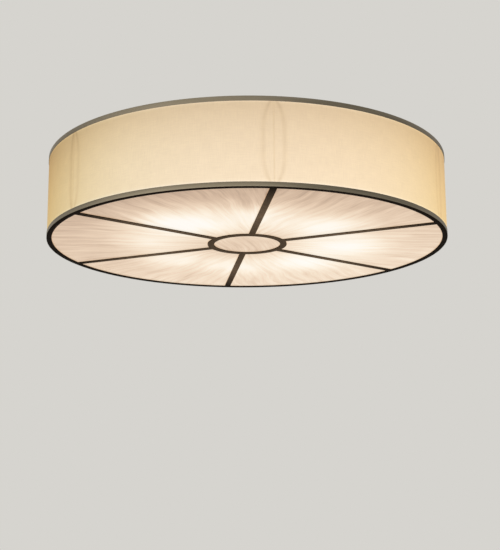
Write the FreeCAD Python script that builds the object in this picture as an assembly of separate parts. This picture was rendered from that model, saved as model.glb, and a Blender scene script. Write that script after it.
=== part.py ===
"""Flush mount ceiling light: a cloth-sided drum with a panelled diffuser below.

Millimetres. The origin is the centre of the face that lies against the ceiling, +Z is up, so the
whole light is at negative z. Spoke 1 of the diffuser frame points along -Y, and the angles below
are measured from there, turning towards +X.

The drum hangs from a ceiling plate: four studs carry a hub dish, six arms run out from the dish to
the top ring, six bowed rods carry the bottom ring, and a flat wheel of rim, spokes and hub closes
the bottom. Diffuser panels lie loose on the wheel. Eight lamps hang from a ring under the reflector.
"""

import FreeCAD
import Part

import math
import os

# ---- Driving dimensions -------------------------------------------------------------------------

DRUM_RADIUS = 609.6            # 48 in across
DRUM_HEIGHT = 254.0            # 10 in from the ceiling to the bottom face
SIDES = 6                      # spokes, rods, cloth panels and diffuser panels
LAMPS = 8

BAND_HEIGHT = 14.0             # trim bands at the top and bottom of the cloth
BAND_THICKNESS = 1.2
CLOTH_THICKNESS = 0.8
CLOTH_PLAY = 0.05              # between the cloth and the metal on each side of it
INNER_RING_THICKNESS = 3.0
CEILING_GAP = 3.0              # from the ceiling to the top band

FRAME_THICKNESS = 3.0          # flat bar of the diffuser frame
RIM_FACE = 15.5                # visible width of the rim, with the edge of the band
SPOKE_WIDTH = 19.0             # 3/4 in flat bar
HUB_INNER_RADIUS = 101.6       # 8 in across
HUB_WIDTH = 20.0
EDGE_RADIUS = 0.5              # eased edges of bars and bands

PANEL_THICKNESS = 3.0          # acrylic sheet
PANEL_SPOKE_GAP = 5.0          # from a spoke's centre line to the edge of a panel
PANEL_RIM_GAP = 1.5            # from the inner ring to the edge of a panel
PANEL_HUB_LAP = 13.1           # how far the panels' straight ends lie on the hub
DISC_LAP = 4.4                 # how far the centre disc lies on the hub

ROD_RADIUS = 2.8               # bowed rods between the rings
ROD_BOW = 45.0                 # how far a rod stands in from the ring at mid height
ROD_BEND_RADIUS = 115.0
ROD_TOP_Z = -13.7
ROD_BOTTOM_Z = -244.3

SEAM_TAPE_WIDTH = 8.0
SEAM_TAPE_THICKNESS = 0.4
SEAM_GAP = 0.5                 # between two cloth panels

PLATE_RADIUS = 190.0           # ceiling plate
PLATE_THICKNESS = 3.0
PLATE_HOLE_RADIUS = 3.5        # four holes for screws into the joists
PLATE_HOLE_PCD = 330.0
WIRE_HOLE_RADIUS = 30.0
BOX_SLOT_SPACING = 88.9        # 3 1/2 in, the screws of a ceiling box
BOX_SLOT_LENGTH = 12.0
BOX_SLOT_WIDTH = 5.2

DISH_RADIUS = 200.0            # hub dish
DISH_WALL = 1.5
DISH_RIM_Z = -4.0
DISH_FLOOR_Z = -30.0           # upper side of the floor
DISH_BEND = 6.0

STUDS = 4
STUD_RADIUS = 3.0
STUD_CIRCLE = 120.0            # radius
STUD_TIP_Z = -39.0
NUT_PLAY = 0.05
NUT_RADIUS = 6.5               # across the corners of the hexagon
NUT_HEIGHT = 6.5
NUT_DOME_RADIUS = 5.2

ARM_WIDTH = 25.0
ARM_TOP_Z = -4.0
ARM_THICKNESS = 5.0
REFLECTOR_THICKNESS = 1.0
REFLECTOR_PLAY = 0.5           # to the dish, to the top ring and between two sheets

LAMP_CIRCLE = 300.0            # radius on which the lamps stand
LAMP_RING_WIDTH = 60.0
LAMP_RING_THICKNESS = 1.5
RING_SCREW_RADIUS = 2.0
RING_SCREW_HEAD = (4.0, 2.4)   # radius, height

HOLDER_FLANGE = (33.0, 8.0)    # radius, height of the lampholder's foot
HOLDER_BODY_RADIUS = 21.0
HOLDER_DEPTH = 44.5            # from the lamp ring to the mouth
HOLDER_BORE = (14.2, 32.0)     # radius, depth from the mouth
HOLDER_SCREW_OFFSET = 27.0
HOLDER_SCREW_RADIUS = 1.9
HOLDER_SCREW_HEAD = (3.5, 2.2)
SHELL_RADIUS = 14.0            # screw shell of a medium base
SHELL_THICKNESS = 0.5
SHELL_LENGTH = 27.0
SHELL_TOP_GAP = 2.0            # from the end of the bore to the shell

CAP_RADIUS = 13.1              # lamp cap, medium base
CAP_LENGTH = 25.0
CAP_TIP = (4.5, 2.5)           # radius, height of the end contact
LAMP_NECK_RADIUS = 16.5
LAMP_GLOBE_RADIUS = 30.0
LAMP_LENGTH = 110.0
LAMP_SHOULDER_GAP = 1.5        # from the lampholder's mouth to the lamp's shoulder

LEAD_RADIUS = 2.25             # sleeved pair to each lampholder
LEAD_HOLDER_Z = -31.0
LEAD_DISH_Z = -22.0
LEAD_BEND_RADIUS = 85.0
BUSHING = (4.4, 6.2, 2.4)      # barrel, collar and bore radius
BUSHING_COLLAR = 2.0
BUSHING_LENGTH = 6.0
BLOCK_RADIUS = 45.0            # distribution block on the floor of the dish
BLOCK_HEIGHT = 12.0
BLOCK_EDGE = 2.0

SUPPLIES = 3                   # live, neutral and earth
SUPPLY_RADIUS = 1.3
SUPPLY_CIRCLE = 20.0           # where the supply leads leave the block
SUPPLY_Z = -12.5
SUPPLY_BEND_RADIUS = 4.8
CONNECTOR_START = 66.0         # distance from the axis
CONNECTOR_LENGTH = 26.0
CONNECTOR_RADII = (6.4, 4.2)   # mouth and tip
CONNECTOR_BORE = (1.4, 8.0)    # radius, depth

EARTH_SCREW_PLACE = (80.0, 67.5)   # distance from the axis, angle
EARTH_SCREW_RADIUS = 2.4
EARTH_SCREW_HEAD = (4.6, 3.0)

# ---- Worked out from them -----------------------------------------------------------------------

UP = FreeCAD.Vector(0, 0, 1)
ORIGIN = FreeCAD.Vector(0, 0, 0)

BOTTOM_Z = -DRUM_HEIGHT
FRAME_TOP_Z = BOTTOM_Z + FRAME_THICKNESS
TOP_BAND_Z = (-CEILING_GAP - BAND_HEIGHT, -CEILING_GAP)
BOTTOM_BAND_Z = (BOTTOM_Z, BOTTOM_Z + BAND_HEIGHT)
BAND_INNER_RADIUS = DRUM_RADIUS - BAND_THICKNESS
CLOTH_OUTER_RADIUS = BAND_INNER_RADIUS - CLOTH_PLAY
CLOTH_INNER_RADIUS = CLOTH_OUTER_RADIUS - CLOTH_THICKNESS
RING_OUTER_RADIUS = CLOTH_INNER_RADIUS - CLOTH_PLAY
RING_INNER_RADIUS = RING_OUTER_RADIUS - INNER_RING_THICKNESS
RIM_INNER_RADIUS = DRUM_RADIUS - RIM_FACE
HUB_OUTER_RADIUS = HUB_INNER_RADIUS + HUB_WIDTH
ARM_BOTTOM_Z = ARM_TOP_Z - ARM_THICKNESS
REFLECTOR_BOTTOM_Z = ARM_BOTTOM_Z - REFLECTOR_THICKNESS
LAMP_RING_BOTTOM_Z = REFLECTOR_BOTTOM_Z - LAMP_RING_THICKNESS
HOLDER_MOUTH_Z = LAMP_RING_BOTTOM_Z - HOLDER_DEPTH
SIDE_ANGLES = [360.0 / SIDES * k for k in range(SIDES)]
LAMP_ANGLES = [360.0 / LAMPS * k for k in range(LAMPS)]
STUD_ANGLES = [22.5 + 360.0 / STUDS * k for k in range(STUDS)]
SUPPLY_ANGLES = [22.5 + 360.0 / SUPPLIES * k for k in range(SUPPLIES)]
RING_SCREW_ANGLES = [60.0, 120.0, 240.0, 300.0]   # arms with no lamp under them


# ---- Helpers ------------------------------------------------------------------------------------

def place(radius, angle, z):
    """The point at a distance from the axis, an angle from -Y towards +X, and a height."""
    a = math.radians(angle)
    return FreeCAD.Vector(radius * math.sin(a), -radius * math.cos(a), z)


def turned(shape, angle):
    """A shape built in the direction of -Y, turned round the axis to its own angle."""
    copy = shape.copy()
    copy.rotate(ORIGIN, UP, angle)
    return copy


def cylinder(radius, low, high, centre=ORIGIN):
    base = FreeCAD.Vector(centre.x, centre.y, low)
    return Part.makeCylinder(radius, high - low, base, UP)


def tube(inner, outer, low, high, centre=ORIGIN):
    return cylinder(outer, low, high, centre).cut(cylinder(inner, low - 1, high + 1, centre))


def revolved(points, centre=ORIGIN):
    """A closed outline of (radius, z) points turned round a vertical axis.

    A point with a third member "arc" is the middle of a three-point arc between its neighbours.
    """
    corners = [FreeCAD.Vector(p[0], 0, p[1]) for p in points]
    curved = [len(p) == 3 for p in points]
    edges = []
    count = len(points)
    for k in range(count):
        if curved[k]:
            edges.append(Part.Arc(corners[k - 1], corners[k], corners[(k + 1) % count]).toShape())
        elif not curved[(k + 1) % count]:
            edges.append(Part.LineSegment(corners[k], corners[(k + 1) % count]).toShape())
    outline = Part.Face(Part.Wire(Part.__sortEdges__(edges)))
    solid = outline.revolve(ORIGIN, UP, 360)
    solid.translate(FreeCAD.Vector(centre.x, centre.y, 0))
    return solid


def eased_ring(inner, outer, low, high, edge=EDGE_RADIUS):
    """A ring of rectangular section with all four edges rounded."""
    r = min(edge, 0.4 * (outer - inner), 0.4 * (high - low))
    s = r * (1 - math.sqrt(0.5))
    return revolved([
        (inner + r, low), (outer - r, low), (outer - s, low + s, "arc"), (outer, low + r),
        (outer, high - r), (outer - s, high - s, "arc"), (outer - r, high), (inner + r, high),
        (inner + s, high - s, "arc"), (inner, high - r), (inner, low + r), (inner + s, low + s, "arc"),
    ])


def radial_bar(width, start, end, low, high):
    """A flat bar along -Y with its long edges rounded and its ends cut to the rings it meets."""
    bar = Part.makeBox(width, end - start + 40, high - low,
                       FreeCAD.Vector(-width / 2, -end - 20, low))
    long_edges = [e for e in bar.Edges if abs(e.tangentAt(e.FirstParameter).y) > 0.9]
    bar = bar.makeFillet(EDGE_RADIUS, long_edges)
    return bar.common(tube(start, end, low - 1, high + 1))


def filleted_path(points, radius):
    """A wire of straight runs joined by tangent arcs of one radius."""
    edges = []
    last = points[0]
    for k in range(1, len(points) - 1):
        before = (points[k - 1] - points[k]).normalize()
        after = (points[k + 1] - points[k]).normalize()
        half_turn = (math.pi - before.getAngle(after)) / 2
        setback = radius * math.tan(half_turn)
        enter = points[k] + before * setback
        leave = points[k] + after * setback
        inwards = (before + after).normalize()
        middle = points[k] + inwards * (radius / math.cos(half_turn) - radius)
        edges.append(Part.LineSegment(last, enter).toShape())
        edges.append(Part.Arc(enter, middle, leave).toShape())
        last = leave
    edges.append(Part.LineSegment(last, points[-1]).toShape())
    return Part.Wire(edges)


def round_tube(path, radius):
    """A round rod along a path."""
    start = path.Edges[0]
    tangent = start.tangentAt(start.FirstParameter)
    section = Part.Wire(Part.makeCircle(radius, start.valueAt(start.FirstParameter), tangent))
    return path.makePipeShell([section], True, True)


def between_spokes(gap, start, low, high):
    """The space between the spokes at 0 and at one step, less a gap from their centre lines.

    It starts with a straight edge at a distance from the axis, and ends well outside the drum.
    """
    half = math.radians(180.0 / SIDES)

    def corner(side, distance):
        return FreeCAD.Vector(side * (distance * math.tan(half) - gap / math.cos(half)), -distance,
                              low)

    near = max(start, gap / math.sin(half) + 1)
    far = 2 * DRUM_RADIUS
    outline = [corner(-1, near), corner(1, near), corner(1, far), corner(-1, far), corner(-1, near)]
    space = Part.Face(Part.makePolygon(outline)).extrude(FreeCAD.Vector(0, 0, high - low))
    return turned(space, 180.0 / SIDES)


def pan_screw(centre, head_top, head, shank_radius, tip):
    """A screw seen from below: the head hangs under head_top, the shank goes up to tip."""
    radius, height = head
    eased = 0.35 * height
    knob = revolved([
        (0, head_top), (radius, head_top), (radius, head_top - height + eased),
        (radius - eased, head_top - height), (0, head_top - height),
    ], centre)
    return knob.fuse(cylinder(shank_radius, head_top - 0.2, tip, centre)).removeSplitter()


# ---- What fixes the light to the ceiling -----------------------------------------------------------

def ceiling_plate():
    """Steel disc screwed to the joists: four holes, a hole for the wires, two ceiling box slots."""
    plate = eased_ring(WIRE_HOLE_RADIUS, PLATE_RADIUS, -PLATE_THICKNESS, 0, 0.3)
    for k in range(4):
        centre = place(PLATE_HOLE_PCD / 2, 45 + 90 * k, 0)
        plate = plate.cut(cylinder(PLATE_HOLE_RADIUS, -PLATE_THICKNESS - 1, 1, centre))
    for side in (-1, 1):
        middle = side * BOX_SLOT_SPACING / 2
        half = (BOX_SLOT_LENGTH - BOX_SLOT_WIDTH) / 2
        slot = Part.makeBox(2 * half, BOX_SLOT_WIDTH, PLATE_THICKNESS + 2,
                            FreeCAD.Vector(middle - half, -BOX_SLOT_WIDTH / 2, -PLATE_THICKNESS - 1))
        for end in (-half, half):
            centre = FreeCAD.Vector(middle + end, 0, 0)
            slot = slot.fuse(cylinder(BOX_SLOT_WIDTH / 2, -PLATE_THICKNESS - 1, 1, centre))
        plate = plate.cut(slot)
    return plate


def hanging_studs():
    """Four studs welded under the plate."""
    tip = STUD_TIP_Z
    return [
        revolved([
            (0, -PLATE_THICKNESS), (STUD_RADIUS, -PLATE_THICKNESS), (STUD_RADIUS, tip + 0.8),
            (STUD_RADIUS - 0.8, tip), (0, tip),
        ], place(STUD_CIRCLE, a, 0))
        for a in STUD_ANGLES
    ]


def cap_nuts():
    """Domed nuts that hold the dish up on the studs."""
    top = DISH_FLOOR_Z - DISH_WALL
    low = top - NUT_HEIGHT
    flat_radius = NUT_RADIUS * math.cos(math.pi / 6)
    dome = math.sqrt(NUT_DOME_RADIUS ** 2 / 2)
    nuts = []
    for a in STUD_ANGLES:
        centre = place(STUD_CIRCLE, a, 0)
        corners = [centre + place(NUT_RADIUS, 60 * k, low) for k in range(7)]
        hexagon = Part.Face(Part.makePolygon(corners)).extrude(FreeCAD.Vector(0, 0, NUT_HEIGHT))
        hexagon = hexagon.common(cylinder(flat_radius + 0.6, low, top, centre))
        cap = revolved([
            (0, low + 0.5), (NUT_DOME_RADIUS, low + 0.5), (NUT_DOME_RADIUS, low),
            (dome, low - dome, "arc"), (0, low - NUT_DOME_RADIUS),
        ], centre)
        bore = cylinder(STUD_RADIUS + NUT_PLAY, STUD_TIP_Z - 0.3, top + 1, centre)
        nuts.append(hexagon.fuse(cap).removeSplitter().cut(bore))
    return nuts


def hub_dish():
    """Pressed dish that carries the arms and covers the wiring."""
    outer, inner = DISH_RADIUS, DISH_RADIUS - DISH_WALL
    floor, under = DISH_FLOOR_Z, DISH_FLOOR_Z - DISH_WALL
    big, small = DISH_BEND, DISH_BEND - DISH_WALL
    corner = 1 - math.sqrt(0.5)
    dish = revolved([
        (0, under), (outer - big, under), (outer - big * corner, under + big * corner, "arc"),
        (outer, under + big), (outer, DISH_RIM_Z), (inner, DISH_RIM_Z), (inner, floor + small),
        (inner - small * corner, floor + small * corner, "arc"), (inner - small, floor), (0, floor),
    ])
    for a in STUD_ANGLES:
        dish = dish.cut(cylinder(STUD_RADIUS + 0.5, under - 1, floor + 1, place(STUD_CIRCLE, a, 0)))
    earth = place(*EARTH_SCREW_PLACE, 0)
    dish = dish.cut(cylinder(EARTH_SCREW_RADIUS + 0.1, under - 1, floor + 1, earth))
    for a in LAMP_ANGLES:
        hole = Part.makeCylinder(BUSHING[0] + 0.1, 12, place(inner - 4, a, LEAD_DISH_Z),
                                 place(1, a, 0))
        dish = dish.cut(hole)
    return dish


# ---- Top of the drum ------------------------------------------------------------------------------

def top_arms():
    """Six flat bars from the dish to the top ring. Four are tapped for the lamp ring's screws."""
    bar = radial_bar(ARM_WIDTH, DISH_RADIUS, RING_INNER_RADIUS, ARM_BOTTOM_Z, ARM_TOP_Z)
    arms = []
    for a in SIDE_ANGLES:
        arm = turned(bar, a)
        if a in RING_SCREW_ANGLES:
            hole = cylinder(RING_SCREW_RADIUS + NUT_PLAY, ARM_BOTTOM_Z - 1, ARM_TOP_Z + 1,
                            place(LAMP_CIRCLE, a, 0))
            arm = arm.cut(hole)
        arms.append(arm)
    return arms


def reflector_plate():
    """Six white sheets that close the top of the drum. They meet along the middles of the arms."""
    low, high = REFLECTOR_BOTTOM_Z, ARM_BOTTOM_Z
    plate = tube(DISH_RADIUS + REFLECTOR_PLAY, RING_INNER_RADIUS - REFLECTOR_PLAY, low, high)
    for a in RING_SCREW_ANGLES:
        plate = plate.cut(cylinder(RING_SCREW_RADIUS + 0.2, low - 1, high + 1,
                                   place(LAMP_CIRCLE, a, 0)))
    wedge = between_spokes(REFLECTOR_PLAY / 2, 0, low - 1, high + 1)
    return [plate.common(turned(wedge, a)) for a in SIDE_ANGLES]


def lamp_ring():
    """Flat ring that the lampholders are screwed to."""
    half = LAMP_RING_WIDTH / 2
    low, high = LAMP_RING_BOTTOM_Z, REFLECTOR_BOTTOM_Z
    ring = eased_ring(LAMP_CIRCLE - half, LAMP_CIRCLE + half, low, high)
    for a in RING_SCREW_ANGLES:
        centre = place(LAMP_CIRCLE, a, 0)
        ring = ring.cut(cylinder(RING_SCREW_RADIUS + 0.2, low - 1, high + 1, centre))
    for centre in holder_screw_places():
        ring = ring.cut(cylinder(HOLDER_SCREW_RADIUS + NUT_PLAY, low - 1, high + 1, centre))
    return ring


def ring_screws():
    """Screws from the lamp ring up into four of the arms."""
    return [
        pan_screw(place(LAMP_CIRCLE, a, 0), LAMP_RING_BOTTOM_Z, RING_SCREW_HEAD,
                  RING_SCREW_RADIUS, ARM_TOP_Z - 0.5)
        for a in RING_SCREW_ANGLES
    ]


# ---- Lampholders and lamps ------------------------------------------------------------------------

def holder_screw_places():
    """Two screws a lampholder, one on each side of it along the ring."""
    places = []
    for a in LAMP_ANGLES:
        sideways = place(1, a + 90, 0)
        for side in (-HOLDER_SCREW_OFFSET, HOLDER_SCREW_OFFSET):
            places.append(place(LAMP_CIRCLE, a, 0) + sideways * side)
    return places


def lampholders():
    """Glazed lampholders: a round foot, a body and a bore for the screw shell."""
    top = LAMP_RING_BOTTOM_Z
    foot_radius, foot_height = HOLDER_FLANGE
    bore_radius, bore_depth = HOLDER_BORE
    body = HOLDER_BODY_RADIUS
    foot_z = top - foot_height
    mouth = HOLDER_MOUTH_Z
    holders = []
    for k, a in enumerate(LAMP_ANGLES):
        centre = place(LAMP_CIRCLE, a, 0)
        holder = revolved([
            (0, top), (foot_radius, top), (foot_radius, foot_z + 2), (foot_radius - 2, foot_z),
            (body + 2, foot_z), (body, foot_z - 2), (body, mouth + 2), (body - 2, mouth),
            (bore_radius, mouth), (bore_radius, mouth + bore_depth), (0, mouth + bore_depth),
        ], centre)
        for screw in holder_screw_places()[2 * k:2 * k + 2]:
            holder = holder.cut(cylinder(HOLDER_SCREW_RADIUS + 0.3, foot_z - 1, top + 1, screw))
        holders.append(holder)
    return holders


def lampholder_screws():
    foot_z = LAMP_RING_BOTTOM_Z - HOLDER_FLANGE[1]
    return [
        pan_screw(centre, foot_z, HOLDER_SCREW_HEAD, HOLDER_SCREW_RADIUS, REFLECTOR_BOTTOM_Z - 0.2)
        for centre in holder_screw_places()
    ]


def screw_shells():
    """Thin brass cups that the lamp caps turn in, with the centre contact."""
    top = HOLDER_MOUTH_Z + HOLDER_BORE[1] - SHELL_TOP_GAP
    low = top - SHELL_LENGTH
    inside = SHELL_RADIUS - SHELL_THICKNESS
    return [
        revolved([
            (0, top), (SHELL_RADIUS, top), (SHELL_RADIUS, low), (inside, low),
            (inside, top - SHELL_THICKNESS), (0, top - SHELL_THICKNESS),
        ], place(LAMP_CIRCLE, a, 0))
        for a in LAMP_ANGLES
    ]


def lamp(angle):
    """A screw cap lamp, hanging cap upwards."""
    shoulder = HOLDER_MOUTH_Z - LAMP_SHOULDER_GAP
    cap_top = shoulder + CAP_LENGTH
    tip_radius, tip_height = CAP_TIP
    tip = cap_top + tip_height
    bottom = tip - LAMP_LENGTH
    globe = bottom + LAMP_GLOBE_RADIUS
    joins = (0.8 * LAMP_GLOBE_RADIUS, globe + 0.6 * LAMP_GLOBE_RADIUS)
    side = LAMP_GLOBE_RADIUS * math.sqrt(0.5)
    neck = LAMP_NECK_RADIUS
    return revolved([
        (0, tip), (tip_radius, tip), (tip_radius, cap_top + 1), (CAP_RADIUS, cap_top - 1.5),
        (CAP_RADIUS, shoulder), (neck, shoulder - 2), (neck, shoulder - 7),
        (neck + 1.9, (shoulder - 7 + joins[1]) / 2, "arc"), joins,
        (side, globe - side, "arc"), (0, bottom),
    ], place(LAMP_CIRCLE, angle, 0))


# ---- Wiring ---------------------------------------------------------------------------------------

def lamp_leads():
    """A sleeved pair from each lampholder, in through the dish's wall, to the block."""
    start = LAMP_CIRCLE - HOLDER_BODY_RADIUS + 3
    leads = []
    for a in LAMP_ANGLES:
        route = [place(start, a, LEAD_HOLDER_Z), place(start - 26, a, LEAD_HOLDER_Z),
                 place(start - 56, a, LEAD_DISH_Z), place(BLOCK_RADIUS, a, LEAD_DISH_Z)]
        lead = round_tube(filleted_path(route, LEAD_BEND_RADIUS), LEAD_RADIUS)
        body = cylinder(HOLDER_BODY_RADIUS, LEAD_HOLDER_Z - 20, LEAD_HOLDER_Z + 20,
                        place(LAMP_CIRCLE, a, 0))
        block = cylinder(BLOCK_RADIUS, LEAD_DISH_Z - 5, LEAD_DISH_Z + 5)
        leads.append(lead.cut(body).cut(block))
    return leads


def lead_bushings():
    """Bushings that line the holes in the dish's wall."""
    barrel, collar, bore = BUSHING
    bushings = []
    for a in LAMP_ANGLES:
        outward = place(1, a, 0)
        inner = place(DISH_RADIUS - BUSHING_LENGTH + BUSHING_COLLAR, a, LEAD_DISH_Z)
        wall = cylinder(DISH_RADIUS, LEAD_DISH_Z - 20, LEAD_DISH_Z + 20)
        flange = Part.makeCylinder(collar, BUSHING_COLLAR + 2, place(DISH_RADIUS - 2, a, LEAD_DISH_Z),
                                   outward).cut(wall)
        sleeve = Part.makeCylinder(barrel, BUSHING_LENGTH, inner, outward)
        hole = Part.makeCylinder(bore, 30, place(DISH_RADIUS - 15, a, LEAD_DISH_Z), outward)
        bushings.append(flange.fuse(sleeve).cut(hole))
    return bushings


def distribution_block():
    """Round block where the lamp leads meet the supply."""
    low, high = DISH_FLOOR_Z, DISH_FLOOR_Z + BLOCK_HEIGHT
    edge = BLOCK_EDGE * (1 - math.sqrt(0.5))
    return revolved([
        (0, low), (BLOCK_RADIUS, low), (BLOCK_RADIUS, high - BLOCK_EDGE),
        (BLOCK_RADIUS - edge, high - edge, "arc"), (BLOCK_RADIUS - BLOCK_EDGE, high), (0, high),
    ])


def supply_leads():
    """Live, neutral and earth, up from the block and out to their connectors."""
    start_z = DISH_FLOOR_Z + BLOCK_HEIGHT
    end = CONNECTOR_START + CONNECTOR_BORE[1] - 0.5
    return [
        round_tube(filleted_path([place(SUPPLY_CIRCLE, a, start_z), place(SUPPLY_CIRCLE, a, SUPPLY_Z),
                                  place(end, a, SUPPLY_Z)], SUPPLY_BEND_RADIUS), SUPPLY_RADIUS)
        for a in SUPPLY_ANGLES
    ]


def wire_connectors():
    """Twist-on connectors for the house wiring."""
    mouth, tip = CONNECTOR_RADII
    bore_radius, bore_depth = CONNECTOR_BORE
    connectors = []
    for a in SUPPLY_ANGLES:
        base, outward = place(CONNECTOR_START, a, SUPPLY_Z), place(1, a, 0)
        cone = Part.makeCone(mouth, tip, CONNECTOR_LENGTH, base, outward)
        rims = [e for e in cone.Edges if len(e.Vertexes) == 1 and e.Curve.TypeId == "Part::GeomCircle"]
        cone = cone.makeFillet(0.8, rims)
        connectors.append(cone.cut(Part.makeCylinder(bore_radius, bore_depth, base, outward)))
    return connectors


def earth_screw():
    centre = place(*EARTH_SCREW_PLACE, 0)
    radius, height = EARTH_SCREW_HEAD
    head = cylinder(radius, DISH_FLOOR_Z, DISH_FLOOR_Z + height, centre)
    shank = cylinder(EARTH_SCREW_RADIUS, DISH_FLOOR_Z - 5, DISH_FLOOR_Z + 0.2, centre)
    slot = Part.makeBox(2 * radius + 2, 1.0, 1.2,
                        centre + FreeCAD.Vector(-radius - 1, -0.5, DISH_FLOOR_Z + height - 1.2))
    return head.fuse(shank).removeSplitter().cut(slot)


# ---- Side of the drum -------------------------------------------------------------------------------

def bowed_rod(angle):
    """A rod from the top ring to the bottom ring, bent so that its middle stands clear of the cloth."""
    end = RING_INNER_RADIUS
    middle = end - ROD_BOW
    centre = middle + ROD_BEND_RADIUS
    sweep = math.acos((centre - end) / ROD_BEND_RADIUS)
    rise = ROD_BEND_RADIUS * math.sin(sweep)
    high, low = ROD_TOP_Z - rise, ROD_BOTTOM_Z + rise

    def on_bend(bend_z, turn, side):
        return place(centre - ROD_BEND_RADIUS * math.cos(turn), angle,
                     bend_z + side * ROD_BEND_RADIUS * math.sin(turn))

    past = sweep + 2.5 / ROD_BEND_RADIUS      # a little longer, then cut to the ring
    path = Part.Wire([
        Part.Arc(on_bend(high, past, 1), on_bend(high, past / 2, 1), on_bend(high, 0, 1)).toShape(),
        Part.LineSegment(on_bend(high, 0, 1), on_bend(low, 0, -1)).toShape(),
        Part.Arc(on_bend(low, 0, -1), on_bend(low, past / 2, -1), on_bend(low, past, -1)).toShape(),
    ])
    return round_tube(path, ROD_RADIUS).common(cylinder(end, BOTTOM_Z, 0))


def sector(start, end, radius, low, high):
    """A wedge of space between two angles, for cutting rings into lengths."""
    corners = [place(0, 0, low), place(radius, start, low), place(radius, (start + end) / 2, low),
               place(radius, end, low), place(0, 0, low)]
    return Part.Face(Part.makePolygon(corners)).extrude(FreeCAD.Vector(0, 0, high - low))


def shade_panel(angle):
    """Cloth on a stiff backing, bent to the drum, from one rod to the next."""
    low, high = FRAME_TOP_Z + 0.5, TOP_BAND_Z[1] - 0.5
    ring = tube(CLOTH_INNER_RADIUS, CLOTH_OUTER_RADIUS, low, high)
    half_gap = math.degrees(SEAM_GAP / 2 / CLOTH_OUTER_RADIUS)
    step = 360.0 / SIDES
    return ring.common(sector(angle + half_gap, angle + step - half_gap, 2 * DRUM_RADIUS,
                              low - 1, high + 1))


def seam_tapes():
    """Tape along the inside of each seam between the cloth panels."""
    low, high = BOTTOM_BAND_Z[1] + 0.2, TOP_BAND_Z[0] - 0.2
    outer = CLOTH_INNER_RADIUS
    half_width = math.degrees(SEAM_TAPE_WIDTH / 2 / outer)
    ring = tube(outer - SEAM_TAPE_THICKNESS, outer, low, high)
    return [
        ring.common(sector(a - half_width, a + half_width, 2 * DRUM_RADIUS, low - 1, high + 1))
        for a in SIDE_ANGLES
    ]


# ---- Bottom of the drum -----------------------------------------------------------------------------

def diffuser_panel():
    """Acrylic panel between the spokes at 0 and at one step, cut straight across at its hub end.

    It lies on the rim, the spokes and the hub.
    """
    low, high = FRAME_TOP_Z, FRAME_TOP_Z + PANEL_THICKNESS
    space = between_spokes(PANEL_SPOKE_GAP, HUB_OUTER_RADIUS - PANEL_HUB_LAP, low, high)
    return space.common(cylinder(RING_INNER_RADIUS - PANEL_RIM_GAP, low, high))


def write(name, shape):
    """Writes one node, of one solid or of several like ones."""
    if isinstance(shape, list):
        shape = Part.makeCompound(shape)
    solids = shape.Solids
    if not solids or not all(s.isValid() for s in solids):
        raise RuntimeError(f"{name} has no valid solid")
    joined = solids[0] if len(solids) == 1 else Part.makeCompound(solids)
    joined.exportStep(f"parts/{name}.step")
    box = joined.BoundBox
    print(f"{name:20s} {len(solids):3d} solid(s)  {box.XLength:7.1f} {box.YLength:7.1f} {box.ZLength:6.1f}")


def main():
    os.makedirs("parts", exist_ok=True)

    write("ceiling_plate", ceiling_plate())
    write("hanging_studs", hanging_studs())
    write("cap_nuts", cap_nuts())
    write("hub_dish", hub_dish())

    write("top_band", eased_ring(BAND_INNER_RADIUS, DRUM_RADIUS, *TOP_BAND_Z))
    write("top_inner_ring", eased_ring(RING_INNER_RADIUS, RING_OUTER_RADIUS, *TOP_BAND_Z))
    write("top_arms", top_arms())
    write("reflector_plate", reflector_plate())
    write("lamp_ring", lamp_ring())
    write("ring_screws", ring_screws())

    write("lampholders", lampholders())
    write("lampholder_screws", lampholder_screws())
    write("screw_shells", screw_shells())
    for k, a in enumerate(LAMP_ANGLES, 1):
        write(f"lamp_{k}", lamp(a))

    write("lamp_leads", lamp_leads())
    write("lead_bushings", lead_bushings())
    write("distribution_block", distribution_block())
    write("supply_leads", supply_leads())
    write("wire_connectors", wire_connectors())
    write("earth_screw", earth_screw())

    for k, a in enumerate(SIDE_ANGLES, 1):
        write(f"bowed_rod_{k}", bowed_rod(a))
        write(f"shade_panel_{k}", shade_panel(a))
    write("seam_tapes", seam_tapes())

    write("bottom_band", eased_ring(BAND_INNER_RADIUS, DRUM_RADIUS, *BOTTOM_BAND_Z))
    write("bottom_inner_ring", eased_ring(RING_INNER_RADIUS, RING_OUTER_RADIUS,
                                          FRAME_TOP_Z, BOTTOM_BAND_Z[1]))
    write("rim", eased_ring(RIM_INNER_RADIUS, BAND_INNER_RADIUS, BOTTOM_Z, FRAME_TOP_Z))
    write("hub_ring", eased_ring(HUB_INNER_RADIUS, HUB_OUTER_RADIUS, BOTTOM_Z, FRAME_TOP_Z))
    spoke = radial_bar(SPOKE_WIDTH, HUB_OUTER_RADIUS, RIM_INNER_RADIUS, BOTTOM_Z, FRAME_TOP_Z)
    panel = diffuser_panel()
    for k, a in enumerate(SIDE_ANGLES, 1):
        write(f"spoke_{k}", turned(spoke, a))
        write(f"diffuser_panel_{k}", turned(panel, a))
    write("diffuser_disc", cylinder(HUB_INNER_RADIUS + DISC_LAP, FRAME_TOP_Z,
                                    FRAME_TOP_Z + PANEL_THICKNESS))


main()
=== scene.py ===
"""Dresses the flush mount ceiling light: a lit, cloth-sided drum over a spoked diffuser.

The frame gives every piece its place. The cloth, the trim bands, the rings and the diffuser panels
are made here as fine surfaces, and every other piece keeps its own solid and gets its finish.
Metres, +Z up, with the mounting face at z = 0. Angles go from -Y towards +X, as the spokes do.
"""

import math

import bpy
import numpy as np
from mathutils import Matrix, Vector


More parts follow.
